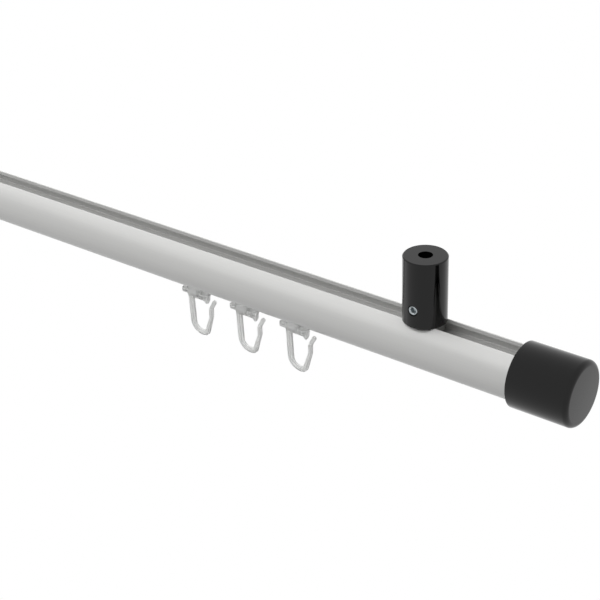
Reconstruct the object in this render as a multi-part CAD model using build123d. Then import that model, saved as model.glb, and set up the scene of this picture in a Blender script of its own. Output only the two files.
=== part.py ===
from build123d import *
import math
import os

# A curtain track for a ceiling: a round aluminium rail with a slot along its top and
# another along its bottom, hung from two turned ceiling brackets, closed by a cap at
# each end, with pleat hook gliders that run in the lower slot.
# Millimetres. The origin lies on the ceiling, midway between the brackets.
# X runs along the rail, Z points up at the ceiling, and -Y faces the room.

# Rail: one extruded aluminium profile.
rail_length = 600.0
rail_diameter = 20.0
rail_wall = 1.4
bracket_slot_width = 8.0
glider_slot_width = 6.0
lip_rounding = 0.2
web_thickness = 1.4
web_top_above_axis = 2.4
ledge_below_axis = 7.2
channel_corner_rounding = 0.2

# End caps: turned, pushed over the ends of the rail.
cap_diameter = 24.0
cap_overlap = 20.5
cap_floor = 3.0
cap_bore_clearance = 0.05
cap_nose_rounding = 1.9
cap_nose_flats = 2
cap_rim_chamfer = 0.3

# Ceiling brackets: turned cylinders, screwed to the ceiling through the hole in their top.
bracket_diameter = 16.0
bracket_height = 25.0
bracket_from_rail_end = 60.0
bracket_edge_chamfer = 0.35
bracket_bore_diameter = 10.0
bracket_top_thickness = 5.0
bracket_seat_clearance = 0.02
ceiling_hole_diameter = 5.2

# Rail clips: a stud in the bracket's bore, with a hammer head held under the rail's lips.
stud_clearance = 0.05
stud_height = 10.0
stud_flat_depth = 0.9
stud_flat_height = 4.6
neck_clearance = 0.15
hammer_head_thickness = 4.2
hammer_head_clearance = 0.1
hammer_corner_rounding = 1.2

# Set screws: M4, flush in the bracket's side, on the stud's flat.
screw_diameter = 4.0
screw_above_bracket_foot = 6.6
screw_recess = 0.25
screw_end_clearance = 0.02
screw_thread_clearance = 0.01
screw_rim_chamfer = 0.35
hex_across_flats = 2.0
hex_depth = 2.0

# Gliders: nylon mouldings, one behind the other in the lower slot.
glider_count = 3
glider_pitch = 24.5
first_glider_from_bracket = 58.5
glider_head_length = 9.0
glider_head_side_clearance = 0.4
glider_head_thickness = 2.6
glider_head_corner = 2.6
glider_running_clearance = 0.1
glider_neck_length = 6.0
glider_neck_clearance = 0.4
glider_neck_corner = 1.2
plate_length = 13.4
plate_width = 4.0
plate_thickness = 1.2
plate_below_rail = 2.7
beam_thickness = 2.0
beam_depth = 1.8
beam_web = 1.0
beam_ledge = 0.6
beam_inside_leg = 0.65
beam_inside_plate = 0.45
catch_width = 1.6
catch_depth = 1.3
catch_point_width = 0.7
catch_point_thickness = 1.0

# Pleat hook: a ribbed strip bent to a J in the plane of the rail.
# Places are given from the middle of the glider, and heights below the rail's axis.
hook_leg_top = -2.8
hook_leg_foot = -2.1
hook_heel = 4.45
hook_kink = 7.3
hook_shoulder = 7.4
hook_tip = 9.3
hook_bottom_below_axis = 31.0
hook_kink_below_axis = 22.6
hook_shoulder_below_axis = 18.8
hook_tip_below_axis = 15.4
hook_leg_width = 2.7
hook_heel_width = 2.2
hook_arm_width = 1.6
hook_leg_bend = 4.3
hook_heel_bend = 2.2
hook_kink_bend = 3.0
hook_thickness = 1.0
hook_rib_width = 0.9
hook_rib_thickness = 1.9
hook_tip_bead = 0.8
hook_bevel = 0.2

# Derived places.
rail_radius = rail_diameter / 2
channel_radius = rail_radius - rail_wall
lip_centre_y = bracket_slot_width / 2 + lip_rounding
lip_centre_z = math.sqrt((rail_radius - lip_rounding) ** 2 - lip_centre_y ** 2)
lip_top = lip_centre_z + lip_rounding
bracket_foot = lip_top + bracket_seat_clearance
rail_axis_z = -(bracket_foot + bracket_height)
bracket_x = rail_length / 2 - bracket_from_rail_end
stud_radius = bracket_bore_diameter / 2 - stud_clearance
flat_distance = stud_radius - stud_flat_depth
screw_z = bracket_foot + screw_above_bracket_foot


def band(radius, bottom, top):
    """The part of a circle that lies between two level lines, as a section."""
    return Circle(radius) & (Pos(0, (bottom + top) / 2) * Rectangle(2 * radius, top - bottom))


def channel(bottom, top):
    """Section of one of the rail's two channels, with its corners rounded."""
    section = band(channel_radius, bottom, top)
    return fillet(section.vertices(), channel_corner_rounding)


def slot(width, start, end):
    """An upright slot of one width between two heights, as a section."""
    return Pos(0, (start + end) / 2) * Rectangle(width, end - start)


def along_rail(section, start, length):
    """Extrude a section of the rail along X, from the place where it starts."""
    return extrude(Plane.YZ.offset(start) * section, length)


def make_rail():
    """Extrude the whole profile, with rounded lips at both slots."""
    section = Circle(rail_radius)
    section -= channel(web_top_above_axis, channel_radius)
    section -= channel(-ledge_below_axis, web_top_above_axis - web_thickness)
    section -= slot(bracket_slot_width, channel_radius / 2, rail_radius + 1)
    section -= slot(glider_slot_width, -rail_radius - 1, -ledge_below_axis + rail_wall / 2)
    mouths = [v for v in section.vertices() if math.hypot(v.X, v.Y) > rail_radius - 0.01]
    section = fillet(mouths, lip_rounding)
    return along_rail(section, -rail_length / 2, rail_length)


def make_end_cap():
    """Turn the cap on the rail's axis, open towards -X, with its floor on the rail's end.
    The rounding of its nose is turned as narrow cones."""
    outer = cap_diameter / 2
    bore = rail_radius + cap_bore_clearance
    inside = [(cap_floor, 0), (0, 0), (0, bore), (-cap_overlap, bore)]
    rim = [(-cap_overlap, outer - cap_rim_chamfer), (-cap_overlap + cap_rim_chamfer, outer)]
    nose = []
    for i in range(cap_nose_flats + 1):
        turn = math.radians(90 * i / cap_nose_flats)
        nose.append((cap_floor - cap_nose_rounding * (1 - math.sin(turn)),
                     outer - cap_nose_rounding * (1 - math.cos(turn))))
    return revolve(make_face(Polyline(*inside, *rim, *nose, close=True)), Axis.X)


def make_bracket():
    """Turn the bracket on its own axis, standing on the rail's lips. Its bore ends in a flat
    seat for the head of the ceiling screw."""
    radius = bracket_diameter / 2
    body = extrude(Circle(radius), bracket_height)
    body = chamfer(body.edges().group_by(Axis.Z)[-1], bracket_edge_chamfer)
    body -= extrude(Circle(bracket_bore_diameter / 2), bracket_height - bracket_top_thickness)
    body -= extrude(Circle(ceiling_hole_diameter / 2), bracket_height)
    return Pos(0, 0, bracket_foot) * body - across_bracket(Circle(screw_diameter / 2), 0, radius)


def across_bracket(section, start, end):
    """Extrude a section along -Y at the screw's height, between two distances."""
    plane = Plane(origin=(0, -start, screw_z), x_dir=(1, 0, 0), z_dir=(0, -1, 0))
    return extrude(plane * section, end - start)


def make_rail_clip():
    """A stud on a neck through the slot, with a hammer head in the channel. The set screw
    bears on a flat that is milled into the stud, so that the clip can't turn or drop."""
    stud_bottom = bracket_foot
    stud = Pos(0, 0, stud_bottom) * extrude(Circle(stud_radius), stud_height)
    flat = Rectangle(2 * stud_radius, stud_flat_height)
    stud -= across_bracket(flat, flat_distance, stud_radius)
    neck_width = bracket_slot_width - 2 * neck_clearance
    head_bottom = web_top_above_axis + hammer_head_clearance
    head_radius = channel_radius - hammer_head_clearance
    neck = Pos(0, 0, head_bottom) * extrude(Circle(neck_width / 2), stud_bottom - head_bottom)
    head_top = head_bottom + hammer_head_thickness
    wings = along_rail(band(head_radius, head_bottom, head_top), -neck_width / 2, neck_width)
    reach = math.sqrt(head_radius ** 2 - head_bottom ** 2)
    plan = RectangleRounded(neck_width, 2 * reach, hammer_corner_rounding)
    head = wings & (Pos(0, 0, head_bottom) * extrude(plan, hammer_head_thickness))
    return stud + neck + head


def make_set_screw():
    """A socket set screw along -Y, from the stud's flat to the bracket's side."""
    start = flat_distance + screw_end_clearance
    end = bracket_diameter / 2 - screw_recess
    body = across_bracket(Circle(screw_diameter / 2 - screw_thread_clearance), start, end)
    body = chamfer(body.edges().group_by(Axis.Y)[0], screw_rim_chamfer)
    socket = RegularPolygon(hex_across_flats / 2, 6, major_radius=False)
    return body - across_bracket(socket, end - hex_depth, end)


def strip(points, radii, widths):
    """A flat strip that follows bent runs, as a section: the two sides stand half its
    width off each corner, and the bends of the two sides share their centres."""
    places = [Vector(*point) for point in points]
    sides = ([], [])
    for i, place in enumerate(places):
        before = (place - places[max(i - 1, 0)]).normalized() if i else None
        after = (places[i + 1] - place).normalized() if i + 1 < len(places) else None
        before = before or after
        after = after or before
        bisector = (before + after).normalized()
        normal = Vector(-bisector.Y, bisector.X)
        reach = widths[i] / 2 / math.cos(math.radians(before.get_angle(after)) / 2)
        sides[0].append(place + normal * reach)
        sides[1].append(place - normal * reach)
    turns = []
    for i in range(1, len(places) - 1):
        run, next_run = places[i] - places[i - 1], places[i + 1] - places[i]
        turns.append(1 if run.X * next_run.Y - run.Y * next_run.X > 0 else -1)
    inner = FilletPolyline(*sides[0], radius=side_radii(radii, turns, widths, 1))
    outer = FilletPolyline(*sides[1], radius=side_radii(radii, turns, widths, -1))
    ends = [Line(inner @ 0, outer @ 0), Line(inner @ 1, outer @ 1)]
    return make_face([inner, outer, *ends])


def side_radii(radii, turns, widths, side):
    """Bend radii of one side of a strip, smaller inside each bend and larger outside."""
    return [r - side * turn * w / 2 for r, turn, w in zip(radii, turns, widths[1:-1])]


def bevelled(section, thickness):
    """Extrude a section both ways from the rail's middle plane, with bevelled rims."""
    body = extrude(Plane.XZ * section, thickness / 2, both=True)
    rims = body.edges().group_by(Axis.Y)
    return chamfer(rims[0] + rims[-1], hook_bevel)


def make_hook():
    """The pleat hook: leg, round foot, arm with a kink, and an open tip."""
    leg_top = -(rail_radius + plate_below_rail + plate_thickness / 2)
    bottom = -hook_bottom_below_axis
    points = [(hook_leg_top, leg_top), (hook_leg_foot, bottom), (hook_heel, bottom),
              (hook_kink, -hook_kink_below_axis), (hook_shoulder, -hook_shoulder_below_axis),
              (hook_tip, -hook_tip_below_axis)]
    radii = [hook_leg_bend, hook_heel_bend, hook_kink_bend, hook_kink_bend]
    arm = [hook_arm_width] * 3
    flange = strip(points, radii, [hook_leg_width, hook_leg_width, hook_heel_width, *arm])
    rib = strip(points[:-1], radii[:-1], [hook_rib_width] * (len(points) - 1))
    bead = Pos(hook_tip, -hook_tip_below_axis) * Circle(hook_tip_bead)
    ridge = extrude(Plane.XZ * rib, hook_rib_thickness / 2, both=True)
    return bevelled(flange + bead, hook_thickness) + ridge


def make_glider():
    """One glider: head in the channel, neck in the slot, plate, beam, catch and hook."""
    head_bottom = -ledge_below_axis + glider_running_clearance
    ledge_half_width = math.sqrt(channel_radius ** 2 - ledge_below_axis ** 2)
    head_width = 2 * (ledge_half_width - glider_head_side_clearance)
    head_section = RectangleRounded(glider_head_length, head_width, glider_head_corner)
    head = Pos(0, 0, head_bottom) * extrude(head_section, glider_head_thickness)

    plate_top = -(rail_radius + plate_below_rail)
    plate_bottom = plate_top - plate_thickness
    neck_width = glider_slot_width - 2 * glider_neck_clearance
    neck_section = RectangleRounded(glider_neck_length, neck_width, glider_neck_corner)
    neck = Pos(0, 0, plate_bottom) * extrude(neck_section, head_bottom - plate_bottom)

    plate = Pos(0, 0, plate_bottom) * extrude(SlotOverall(plate_length, plate_width), plate_thickness)

    beam_start = hook_leg_top - hook_leg_width / 2 + beam_inside_leg
    beam_end = plate_length / 2 - beam_inside_plate
    beam_bottom = plate_bottom - beam_depth
    beam = level_block(beam_start, beam_end, beam_bottom, plate_bottom, beam_thickness)
    pocket_start = hook_leg_top + hook_leg_width / 2 + beam_ledge
    pocket_end = beam_end - catch_width
    pocket_bottom = beam_bottom + beam_ledge
    pocket = level_block(pocket_start, pocket_end, pocket_bottom, plate_bottom, beam_thickness)
    web = level_block(pocket_start, pocket_end, pocket_bottom, plate_bottom, beam_web)
    beam -= pocket - web

    catch_centre = ((pocket_end + beam_end) / 2, 0, beam_bottom - catch_depth / 2)
    inset_x = (catch_width - catch_point_width) / 2
    inset_y = (beam_thickness - catch_point_thickness) / 2
    catch = Wedge(catch_width, catch_depth, beam_thickness, inset_x, inset_y,
                  catch_width - inset_x, beam_thickness - inset_y)
    catch = Pos(*catch_centre) * Rot(-90, 0, 0) * catch
    return head + neck + plate + beam + catch + make_hook()


def level_block(start, end, bottom, top, thickness):
    """A level block on the rail's middle plane, between two places and two heights."""
    centre = Pos((start + end) / 2, 0, (bottom + top) / 2)
    return centre * Box(end - start, thickness, top - bottom)


def place(shape, x, mirrored=False):
    """Put a shape modelled about the rail's axis at its place along the rail."""
    if mirrored:
        shape = mirror(shape, Plane.YZ)
    return Pos(x, 0, rail_axis_z) * shape


parts = {"rail": place(make_rail(), 0)}
end_cap = make_end_cap()
bracket = make_bracket()
rail_clip = make_rail_clip()
set_screw = make_set_screw()
for name, side in (("left", -1), ("right", 1)):
    parts[f"end_cap_{name}"] = place(end_cap, side * rail_length / 2, mirrored=side < 0)
    parts[f"ceiling_bracket_{name}"] = place(bracket, side * bracket_x)
    parts[f"rail_clip_{name}"] = place(rail_clip, side * bracket_x)
    parts[f"set_screw_{name}"] = place(set_screw, side * bracket_x)
glider = make_glider()
for number in range(glider_count):
    glider_x = bracket_x - first_glider_from_bracket - number * glider_pitch
    parts[f"glider_{number + 1}"] = place(glider, glider_x)

os.makedirs("parts", exist_ok=True)
for name, shape in parts.items():
    export_step(shape, f"parts/{name}.step")
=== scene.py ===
# %% [markdown]
# A round ceiling curtain track, dressed for its picture.
# The rail, its two black brackets, its end caps and the nylon gliders come from the packed
# model, so their sizes and places are already right. What is left to do here is the finish
# of each surface, the round noses of the end caps, the thread of the two set screws, the light
# and the camera.

import math

import bpy
import numpy as np
from mathutils import Matrix, Vector


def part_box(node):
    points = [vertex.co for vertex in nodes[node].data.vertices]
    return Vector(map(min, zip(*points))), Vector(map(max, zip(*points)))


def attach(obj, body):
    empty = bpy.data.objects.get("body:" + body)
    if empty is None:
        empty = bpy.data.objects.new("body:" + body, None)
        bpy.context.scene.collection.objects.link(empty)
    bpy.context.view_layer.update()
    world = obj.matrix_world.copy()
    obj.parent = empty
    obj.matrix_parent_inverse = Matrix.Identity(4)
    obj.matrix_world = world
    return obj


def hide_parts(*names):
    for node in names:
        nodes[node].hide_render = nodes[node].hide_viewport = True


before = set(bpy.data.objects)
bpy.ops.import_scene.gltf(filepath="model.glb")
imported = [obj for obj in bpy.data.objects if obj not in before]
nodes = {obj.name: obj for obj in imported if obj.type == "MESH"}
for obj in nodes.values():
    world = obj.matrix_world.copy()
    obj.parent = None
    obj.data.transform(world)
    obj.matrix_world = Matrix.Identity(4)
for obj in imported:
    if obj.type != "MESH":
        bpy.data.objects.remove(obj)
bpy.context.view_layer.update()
MM = 0.001
print("nodes of the packed model:", len(nodes))

# %% [markdown]
# The camera. A picture of a straight rail gives its own camera away: the rail's edges meet at
# a far point, and the round ends of the bracket and the cap show how steeply it looks down.
# Place, aim, tilt and focal length were fitted to those lines, and are set here as numbers.

# %% Camera
IMAGE_SIZE = 600
FOCAL_PIXELS = 1540.56
SENSOR_WIDTH = 36.0
CAMERA_PLACE = Vector((496.45, -394.33, 243.31)) * MM
CAMERA_HEADING = math.radians(-38.3437)
CAMERA_LOOK_DOWN = math.radians(28.9680)
CAMERA_ROLL = math.radians(-1.9748)
NEAREST_SEEN = 10 * MM


def make_camera():
    """A camera that looks along one direction and is then rolled about it. Its sideways axis
    is level before the roll: it is the cross product of the direction and the upright."""
    level = math.cos(CAMERA_LOOK_DOWN)
    forward = Vector((math.sin(CAMERA_HEADING) * level, math.cos(CAMERA_HEADING) * level,
                      -math.sin(CAMERA_LOOK_DOWN)))
    sideways = forward.cross(Vector((0, 0, 1))).normalized()
    upright = sideways.cross(forward)
    right = math.cos(CAMERA_ROLL) * sideways + math.sin(CAMERA_ROLL) * upright
    up = math.cos(CAMERA_ROLL) * upright - math.sin(CAMERA_ROLL) * sideways
    turn = Matrix((right, up, -forward)).transposed().to_4x4()
    data = bpy.data.cameras.new("camera")
    data.sensor_width = SENSOR_WIDTH
    data.lens = FOCAL_PIXELS * SENSOR_WIDTH / IMAGE_SIZE
    data.clip_start = NEAREST_SEEN
    camera = bpy.data.objects.new("camera", data)
    camera.matrix_world = Matrix.Translation(CAMERA_PLACE) @ turn
    bpy.context.scene.collection.objects.link(camera)
    bpy.context.scene.camera = camera
    return camera


camera = make_camera()
print("camera lens in mm:", round(camera.data.lens, 2))

# %% [markdown]
# Small helpers. Colours are written as they read on a screen, in hex, and turned to the linear
# light that shaders work in. Nodes are added by one function, which sets a node's own settings
# and then each input, either to a value or to another node's output. A noise texture runs from
# 0 to 1, but nearly all of it lies between NOISE_LOW and NOISE_HIGH, so a roughness that
# follows it is spread over that part. The last two helpers turn arrays of points into meshes.

# %% Helpers for colours, nodes and meshes
NOISE_LOW = 0.3
NOISE_HIGH = 0.7


def linear(hex_colour):
    """sRGB hex to linear RGBA: the power curve of 2.4 with its straight foot."""
    srgb = np.array([int(hex_colour[i:i + 2], 16) for i in (1, 3, 5)]) / 255
    light = np.where(srgb <= 0.04045, srgb / 12.92, ((srgb + 0.055) / 1.055) ** 2.4)
    return (*light.tolist(), 1.0)


def add(tree, kind, settings=None, inputs=None):
    """Add one node, set its own settings, and set or link its inputs."""
    node = tree.nodes.new(kind)
    for name, value in (settings or {}).items():
        setattr(node, name, value)
    for name, value in (inputs or {}).items():
        if isinstance(value, bpy.types.NodeSocket):
            tree.links.new(value, node.inputs[name])
        else:
            node.inputs[name].default_value = value
    return node


def new_material(name):
    """An empty node material with its output, and the tree to fill."""
    material = bpy.data.materials.new(name)
    material.use_nodes = True
    tree = material.node_tree
    tree.nodes.clear()
    return material, tree


def mesh_object(name, points, faces, smooth=True):
    """A mesh object at the origin from an array of points and a list of faces."""
    mesh = bpy.data.meshes.new(name)
    mesh.from_pydata(points.tolist(), [], faces)
    if smooth:
        mesh.shade_smooth()
    made = bpy.data.objects.new(name, mesh)
    bpy.context.scene.collection.objects.link(made)
    return made


def closed_surface(name, rows, poles, sharp_angle):
    """A piece from rows of points, each row a closed loop of as many points, and a pole at
    either end. Rows are joined by quads and the poles by fans of triangles."""
    count, steps = rows.shape[:2]
    i, j = np.meshgrid(np.arange(count - 1), np.arange(steps), indexing="ij")
    k = (j + 1) % steps
    quads = np.stack([i * steps + j, i * steps + k, (i + 1) * steps + k, (i + 1) * steps + j], -1)
    around = np.arange(steps)
    beyond = (around + 1) % steps
    last = (count - 1) * steps
    start = np.stack([np.full(steps, count * steps), beyond, around], -1)
    end = np.stack([np.full(steps, count * steps + 1), last + around, last + beyond], -1)
    faces = quads.reshape(-1, 4).tolist() + start.tolist() + end.tolist()
    made = mesh_object(name, np.vstack([rows.reshape(-1, 3), poles]), faces)
    made.data.set_sharp_from_angle(angle=math.radians(sharp_angle))
    print(name, "has", len(faces), "faces")
    return made


print("white paper is", linear("#FFFFFF"), "in linear light")

# %% [markdown]
# Clear anodised aluminium, finely brushed along its length. The rail is pressed through a
# die, brushed and etched, and a clear oxide grows on it. The metal under the oxide mirrors the
# room in broad soft bands, because the hairlines spread its reflections round the tube. The
# oxide itself is full of pores that scatter light like paper, so the tube never goes really
# dark. Both shares are mixed in one shader: METAL_SHARE says how much of it mirrors. The
# hairlines are a noise stretched a hundredfold along X. Real ones lie about 0.05 mm apart,
# which is finer than a pixel here, so they are drawn at 0.35 mm and very faint.

# %% Brushed aluminium
HAIRLINE_SPACING = 0.35 * MM
HAIRLINE_LENGTH = 45 * MM
HAIRLINE_DEPTH = 0.002 * MM
METAL_SHARE = 0.25


def brushed_aluminium():
    """Stretched noise turns the colour, the roughness and the height a little."""
    material, tree = new_material("clear_anodised_brushed_aluminium")
    place = add(tree, "ShaderNodeTexCoord").outputs["Object"]
    stretch = (1 / HAIRLINE_LENGTH, 1 / HAIRLINE_SPACING, 1 / HAIRLINE_SPACING)
    stretched = add(tree, "ShaderNodeMapping", {}, {"Vector": place, "Scale": stretch})
    hairlines = add(tree, "ShaderNodeTexNoise", {},
                    {"Vector": stretched.outputs["Vector"], "Scale": 1.0, "Detail": 3.0})
    streak = hairlines.outputs["Fac"]
    colour = add(tree, "ShaderNodeMix", {"data_type": "RGBA"},
                 {"Factor": streak, "A": linear("#C1C1C0"), "B": linear("#C8C8C6")})
    roughness = add(tree, "ShaderNodeMapRange", {},
                    {"Value": streak, "From Min": NOISE_LOW, "From Max": NOISE_HIGH,
                     "To Min": 0.28, "To Max": 0.32})
    bump = add(tree, "ShaderNodeBump", {}, {"Height": streak, "Distance": HAIRLINE_DEPTH,
                                            "Strength": 0.6})
    shader = add(tree, "ShaderNodeBsdfPrincipled", {},
                 {"Base Color": colour.outputs["Result"], "Metallic": METAL_SHARE,
                  "Roughness": roughness.outputs["Result"], "Normal": bump.outputs["Normal"]})
    add(tree, "ShaderNodeOutputMaterial", {}, {"Surface": shader.outputs["BSDF"]})
    return material


# %% [markdown]
# Black powder coat on the brackets and the end caps. The powder melts and flows out in the
# oven, so the film is smooth and glossy, with a very low swell like the peel of an orange.
# The black itself sends back almost nothing: what shows is the film's reflection. In a white
# room that greys the black, so the gloss is set somewhat below a usual powder coat's.

# %% Black powder coat
PEEL_SIZE = 1.1 * MM
PEEL_DEPTH = 0.006 * MM


def black_powder_coat():
    """A near black with a soft swell in its height and a little unevenness in its gloss."""
    material, tree = new_material("black_powder_coat")
    place = add(tree, "ShaderNodeTexCoord").outputs["Object"]
    swell = add(tree, "ShaderNodeTexNoise", {},
                {"Vector": place, "Scale": 1 / PEEL_SIZE, "Detail": 1.0})
    height = swell.outputs["Fac"]
    colour = add(tree, "ShaderNodeMix", {"data_type": "RGBA"},
                 {"Factor": height, "A": linear("#010101"), "B": linear("#040404")})
    roughness = add(tree, "ShaderNodeMapRange", {},
                    {"Value": height, "From Min": NOISE_LOW, "From Max": NOISE_HIGH,
                     "To Min": 0.08, "To Max": 0.12})
    bump = add(tree, "ShaderNodeBump", {}, {"Height": height, "Distance": PEEL_DEPTH,
                                            "Strength": 0.5})
    shader = add(tree, "ShaderNodeBsdfPrincipled", {},
                 {"Base Color": colour.outputs["Result"], "IOR": 1.5, "Specular IOR Level": 0.3,
                  "Roughness": roughness.outputs["Result"], "Normal": bump.outputs["Normal"]})
    add(tree, "ShaderNodeOutputMaterial", {}, {"Surface": shader.outputs["BSDF"]})
    return material


# %% [markdown]
# Bright zinc on steel, for the rail clips and the set screws. Zinc plating is a thin crystal
# film, silvery with a faint cool mottle a few tenths of a millimetre across. The clear
# chromate over it scatters a little light, so ZINC_METAL_SHARE of it mirrors and not all.

# %% Zinc plated steel
ZINC_GRAIN = 0.5 * MM
ZINC_METAL_SHARE = 0.85


def zinc_plated_steel():
    """A metal whose grey and gloss vary with a fine mottle."""
    material, tree = new_material("bright_zinc_plated_steel")
    place = add(tree, "ShaderNodeTexCoord").outputs["Object"]
    mottle = add(tree, "ShaderNodeTexNoise", {},
                 {"Vector": place, "Scale": 1 / ZINC_GRAIN, "Detail": 2.0})
    grain = mottle.outputs["Fac"]
    colour = add(tree, "ShaderNodeMix", {"data_type": "RGBA"},
                 {"Factor": grain, "A": linear("#989FA3"), "B": linear("#BCC2C4")})
    roughness = add(tree, "ShaderNodeMapRange", {}, {"Value": grain, "To Min": 0.15, "To Max": 0.3})
    shader = add(tree, "ShaderNodeBsdfPrincipled", {},
                 {"Base Color": colour.outputs["Result"], "Metallic": ZINC_METAL_SHARE,
                  "Roughness": roughness.outputs["Result"]})
    add(tree, "ShaderNodeOutputMaterial", {}, {"Surface": shader.outputs["BSDF"]})
    return material


# %% [markdown]
# Natural nylon, moulded, for the gliders. Undyed nylon is milky: part of the light comes back
# from just below its skin, and part goes on through, so a thin rib takes on some of the white
# behind it and looks softer than paint would. CLEAR_SHARE is the part that goes through. The
# crystals inside spread that part more than the skin bends it, so CLEAR_INDEX is well below
# the 1.53 of solid nylon, and the skin's own gloss is turned up to make good for it. The mould
# leaves a satin skin and faint flow marks, drawn here as a noise 3 mm across.

# %% Natural nylon
FLOW_MARK_SIZE = 3 * MM
SKIN_GRAIN = 0.25 * MM
SKIN_DEPTH = 0.004 * MM
CLEAR_SHARE = 0.6
CLEAR_INDEX = 1.2


def natural_nylon():
    """A milky plastic: some light goes through, on a satin skin with a faint flow mark."""
    material, tree = new_material("natural_nylon_moulded")
    place = add(tree, "ShaderNodeTexCoord").outputs["Object"]
    flow = add(tree, "ShaderNodeTexNoise", {},
               {"Vector": place, "Scale": 1 / FLOW_MARK_SIZE, "Detail": 2.0})
    colour = add(tree, "ShaderNodeMix", {"data_type": "RGBA"},
                 {"Factor": flow.outputs["Fac"], "A": linear("#E4E5E4"), "B": linear("#ECECEB")})
    skin = add(tree, "ShaderNodeTexNoise", {},
               {"Vector": place, "Scale": 1 / SKIN_GRAIN, "Detail": 1.0})
    bump = add(tree, "ShaderNodeBump", {},
               {"Height": skin.outputs["Fac"], "Distance": SKIN_DEPTH, "Strength": 0.5})
    roughness = add(tree, "ShaderNodeMapRange", {},
                    {"Value": skin.outputs["Fac"], "To Min": 0.45, "To Max": 0.55})
    shader = add(tree, "ShaderNodeBsdfPrincipled", {},
                 {"Base Color": colour.outputs["Result"], "Roughness": roughness.outputs["Result"],
                  "IOR": CLEAR_INDEX, "Specular IOR Level": 1.0,
                  "Normal": bump.outputs["Normal"], "Transmission Weight": CLEAR_SHARE})
    add(tree, "ShaderNodeOutputMaterial", {}, {"Surface": shader.outputs["BSDF"]})
    return material


# %% [markdown]
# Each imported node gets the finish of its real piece. The node keeps its mesh, and only the
# material in its slot is exchanged.

# %% Give every node its finish
aluminium = brushed_aluminium()
black_coat = black_powder_coat()
zinc = zinc_plated_steel()
nylon = natural_nylon()
finishes = {"rail": aluminium, "end_cap": black_coat, "ceiling_bracket": black_coat,
            "rail_clip": zinc, "set_screw": zinc, "glider": nylon}
for name, node in sorted(nodes.items()):
    finish = next(finish for start, finish in finishes.items() if name.startswith(start))
    node.data.materials.clear()
    node.data.materials.append(finish)
    print(name, "is", finish.name)

# %% [markdown]
# The end caps. Each is turned from bar in one setting: the outside is run down to size, the
# nose is rounded by a form tool, and the bore that takes the rail is drilled and reamed. A
# surface of revolution is just that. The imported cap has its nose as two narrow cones, and
# here the same cap gets the true quarter round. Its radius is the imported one's smallest half
# width, so that it never stands out past that cap.

# %% End caps
CAP_BORE = 10.05 * MM
CAP_OVERLAP = 20.5 * MM
CAP_FLOOR = 3.0 * MM
NOSE_ROUNDING = 1.9 * MM
RIM_ROUNDING = 0.3 * MM
CAP_STEPS = 256
RIM_STEPS = 7
NOSE_STEPS = 17
CAP_SHARP_ANGLE = 40


def quarter(centre, radius, start, steps):
    """Points of a quarter circle: centre + radius (cos t, sin t), t from start to start - 90."""
    turn = np.radians(np.linspace(start, start - 90, steps))
    return np.array(centre) + radius * np.column_stack([np.cos(turn), np.sin(turn)])


def make_cap(side):
    """A cap of revolution about the rail's axis. Formula: a profile point (u, r) goes to
    (end + side u, r cos a, axis + r sin a), with u along the rail, measured from its end."""
    node = f"end_cap_{'right' if side > 0 else 'left'}"
    low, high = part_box(node)
    axis = (low[2] + high[2]) / 2
    outer = min(high[1], -low[1], (high[2] - low[2]) / 2)
    rail_end = (high[0] - CAP_FLOOR) if side > 0 else (low[0] + CAP_FLOOR)
    rim = quarter((-CAP_OVERLAP + RIM_ROUNDING, outer - RIM_ROUNDING), RIM_ROUNDING, 180, RIM_STEPS)
    nose_centre = (CAP_FLOOR - NOSE_ROUNDING, outer - NOSE_ROUNDING)
    nose = quarter(nose_centre, NOSE_ROUNDING, 90, NOSE_STEPS)
    profile = np.vstack([(0, CAP_BORE), (-CAP_OVERLAP, CAP_BORE), rim, nose])
    turn = np.linspace(0, 2 * np.pi, CAP_STEPS + 1)[:-1] * side
    u, r = profile[:, 0, None], profile[:, 1, None]
    rows = np.stack([rail_end + side * u + 0 * turn, r * np.cos(turn), axis + r * np.sin(turn)], -1)
    poles = np.array([(rail_end, 0, axis), (rail_end + side * CAP_FLOOR, 0, axis)])
    cap = closed_surface(f"turned_{node}", rows, poles, CAP_SHARP_ANGLE)
    cap.data.materials.append(black_coat)
    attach(cap, "track")
    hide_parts(node)
    return cap


for side in (-1, 1):
    make_cap(side)

# %% [markdown]
# The set screws. An M4 socket set screw is cold formed with its hexagon, and its thread is
# rolled between two flat dies, so the thread's crests and roots are flats joined by 60 degree
# flanks. The thread runs out into a chamfer at both ends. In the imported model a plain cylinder
# stands in for it.

# %% Set screws
SCREW_PITCH = 0.7 * MM
CREST_RADIUS = 1.99 * MM
THREAD_DEPTH = 0.38 * MM
END_CHAMFER = 0.45 * MM
HEX_APOTHEM = 1.0 * MM
SINK_RADIUS = 1.36 * MM
SINK_DEPTH = 0.3 * MM
SOCKET_DEPTH = 2.0 * MM
DRILL_POINT = 0.4 * MM
SCREW_STEPS = 96
ROWS_A_TURN = 20
SCREW_SHARP_ANGLE = 35


def thread_radius(along, turn):
    """Height of a rolled thread. Formula: with p the share of a pitch since the last crest,
    along / pitch - turn / 360 degrees, a triangle wave abs(2 p - 1) is cut off top and
    bottom, which leaves a flat crest of an eighth and a flat root of a quarter."""
    p = (along / SCREW_PITCH - turn / (2 * np.pi)) % 1
    wave = np.clip((np.abs(2 * p - 1) - 0.25) / 0.625, 0, 1)
    return CREST_RADIUS - THREAD_DEPTH * (1 - wave)


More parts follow.
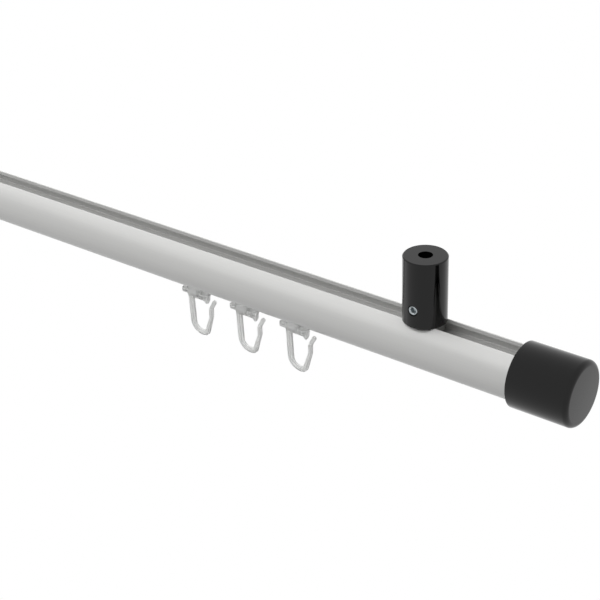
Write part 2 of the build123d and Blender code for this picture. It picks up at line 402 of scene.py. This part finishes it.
def make_screw(name):
    """One set screw along -Y. Formula: (x + r cos a, y(s), z + r sin a), with s along the
    screw and r(s, a) the thread, cut back by the end cones, and then the hexagon's
    apothem / cos((a mod 60) - 30) down the socket."""
    low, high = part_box(name)
    length = high[1] - low[1]
    turn = np.linspace(0, 2 * np.pi, SCREW_STEPS + 1)[:-1]
    count = int(length / SCREW_PITCH * ROWS_A_TURN)
    along = np.linspace(0, length, count)[:, None]
    cones = CREST_RADIUS - END_CHAMFER + np.minimum(along, length - along)
    thread = np.minimum(thread_radius(along, turn), cones)
    hexagon = HEX_APOTHEM / np.cos(np.radians(np.degrees(turn) % 60 - 30))
    radius = np.vstack([thread, np.full(SCREW_STEPS, SINK_RADIUS), hexagon, hexagon])
    inward = [length, length - SINK_DEPTH, length - SOCKET_DEPTH]
    distance = np.concatenate([along[:, 0], inward])[:, None] + 0 * turn
    x, z = (low[0] + high[0]) / 2, (low[2] + high[2]) / 2
    rows = np.stack([x + radius * np.cos(turn), high[1] - distance, z + radius * np.sin(turn)], -1)
    poles = np.array([(x, high[1], z), (x, low[1] + SOCKET_DEPTH + DRILL_POINT, z)])
    screw = closed_surface(f"threaded_{name}", rows, poles, SCREW_SHARP_ANGLE)
    screw.data.materials.append(zinc)
    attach(screw, "track")
    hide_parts(name)
    return screw


for name in ("set_screw_left", "set_screw_right"):
    make_screw(name)

# %% [markdown]
# The stage. The picture shows the track on plain white, lit softly from above, as on a light
# table: a wide white sheet that is lit from inside, as far below the track as a floor is.
# Camera, reflected and refracted rays see it as white. The light that it gives the track is
# softer, and so is the plain light of the room round it.

# %% Floor and world
FLOOR_HEIGHT = -1.7
FLOOR_REACH = 20.0
ROOM_LIGHT = 0.1
TABLE_LIGHT = 0.25
WHITE_SEEN = 1.0


def sees_white(tree):
    """1 for camera, reflected and refracted rays, and 0 for the others."""
    rays = add(tree, "ShaderNodeLightPath").outputs
    camera_or_glossy = add(tree, "ShaderNodeMath", {"operation": "MAXIMUM"},
                           {0: rays["Is Camera Ray"], 1: rays["Is Glossy Ray"]}).outputs[0]
    return add(tree, "ShaderNodeMath", {"operation": "MAXIMUM"},
               {0: camera_or_glossy, 1: rays["Is Transmission Ray"]}).outputs[0]


def make_floor():
    """A square sheet that glows: TABLE_LIGHT on the track, and white to the eye."""
    corners = np.array([(-1, -1), (1, -1), (1, 1), (-1, 1)]) * FLOOR_REACH
    points = np.column_stack([corners, np.full(4, FLOOR_HEIGHT)])
    floor = mesh_object("floor", points, [(0, 1, 2, 3)], smooth=False)
    material, tree = new_material("lit_white_sheet")
    glow = add(tree, "ShaderNodeEmission", {}, {"Color": linear("#FFFFFF"), "Strength": TABLE_LIGHT})
    white = add(tree, "ShaderNodeEmission", {}, {"Color": linear("#FFFFFF"), "Strength": WHITE_SEEN})
    both = add(tree, "ShaderNodeMixShader", {}, {0: sees_white(tree), 1: glow.outputs[0],
                                                 2: white.outputs[0]})
    add(tree, "ShaderNodeOutputMaterial", {}, {"Surface": both.outputs[0]})
    floor.data.materials.append(material)


def make_world():
    """Plain pale light from all round, and white to the eye."""
    world = bpy.data.worlds.new("room")
    world.use_nodes = True
    tree = world.node_tree
    tree.nodes.clear()
    light = add(tree, "ShaderNodeBackground", {}, {"Color": linear("#FFFFFF"), "Strength": ROOM_LIGHT})
    white = add(tree, "ShaderNodeBackground", {}, {"Color": linear("#FFFFFF"), "Strength": WHITE_SEEN})
    both = add(tree, "ShaderNodeMixShader", {}, {0: sees_white(tree), 1: light.outputs[0],
                                                 2: white.outputs[0]})
    add(tree, "ShaderNodeOutputWorld", {}, {"Surface": both.outputs[0]})
    bpy.context.scene.world = world


make_floor()
make_world()
print("floor at", FLOOR_HEIGHT, "m")

# %% [markdown]
# Two large soft lamps above give the parts their shape. The one in front lights the round
# side of the rail and looks into its slot, and the one behind lights the lips. Both are wide
# for their distance, so that no shadow has a hard edge. Reflections, and light that goes
# through the nylon, see the plain white round the track instead of the lamps.

# %% Lamps
LAMPS = {"softbox_front": ((-0.1, -0.9, 0.95), 19.0), "softbox_back": ((-0.1, 0.7, 0.95), 24.0)}
LAMP_SIZE = (1.8, 0.9)


def make_lamp(name, place, power):
    """A rectangle of light that looks at the middle of the track."""
    data = bpy.data.lights.new(name, "AREA")
    data.shape = "RECTANGLE"
    data.size, data.size_y = LAMP_SIZE
    data.energy = power
    lamp = bpy.data.objects.new(name, data)
    lamp.location = place
    lamp.rotation_euler = (-Vector(place)).to_track_quat("-Z", "Y").to_euler()
    lamp.visible_camera = False
    lamp.visible_glossy = False
    lamp.visible_transmission = False
    bpy.context.scene.collection.objects.link(lamp)
    print(name, "has", power, "watts")


for name, (place, power) in LAMPS.items():
    make_lamp(name, place, power)

# %% [markdown]
# Last, the colour settings.

# %% Finish
bpy.context.scene.view_settings.view_transform = "Standard"
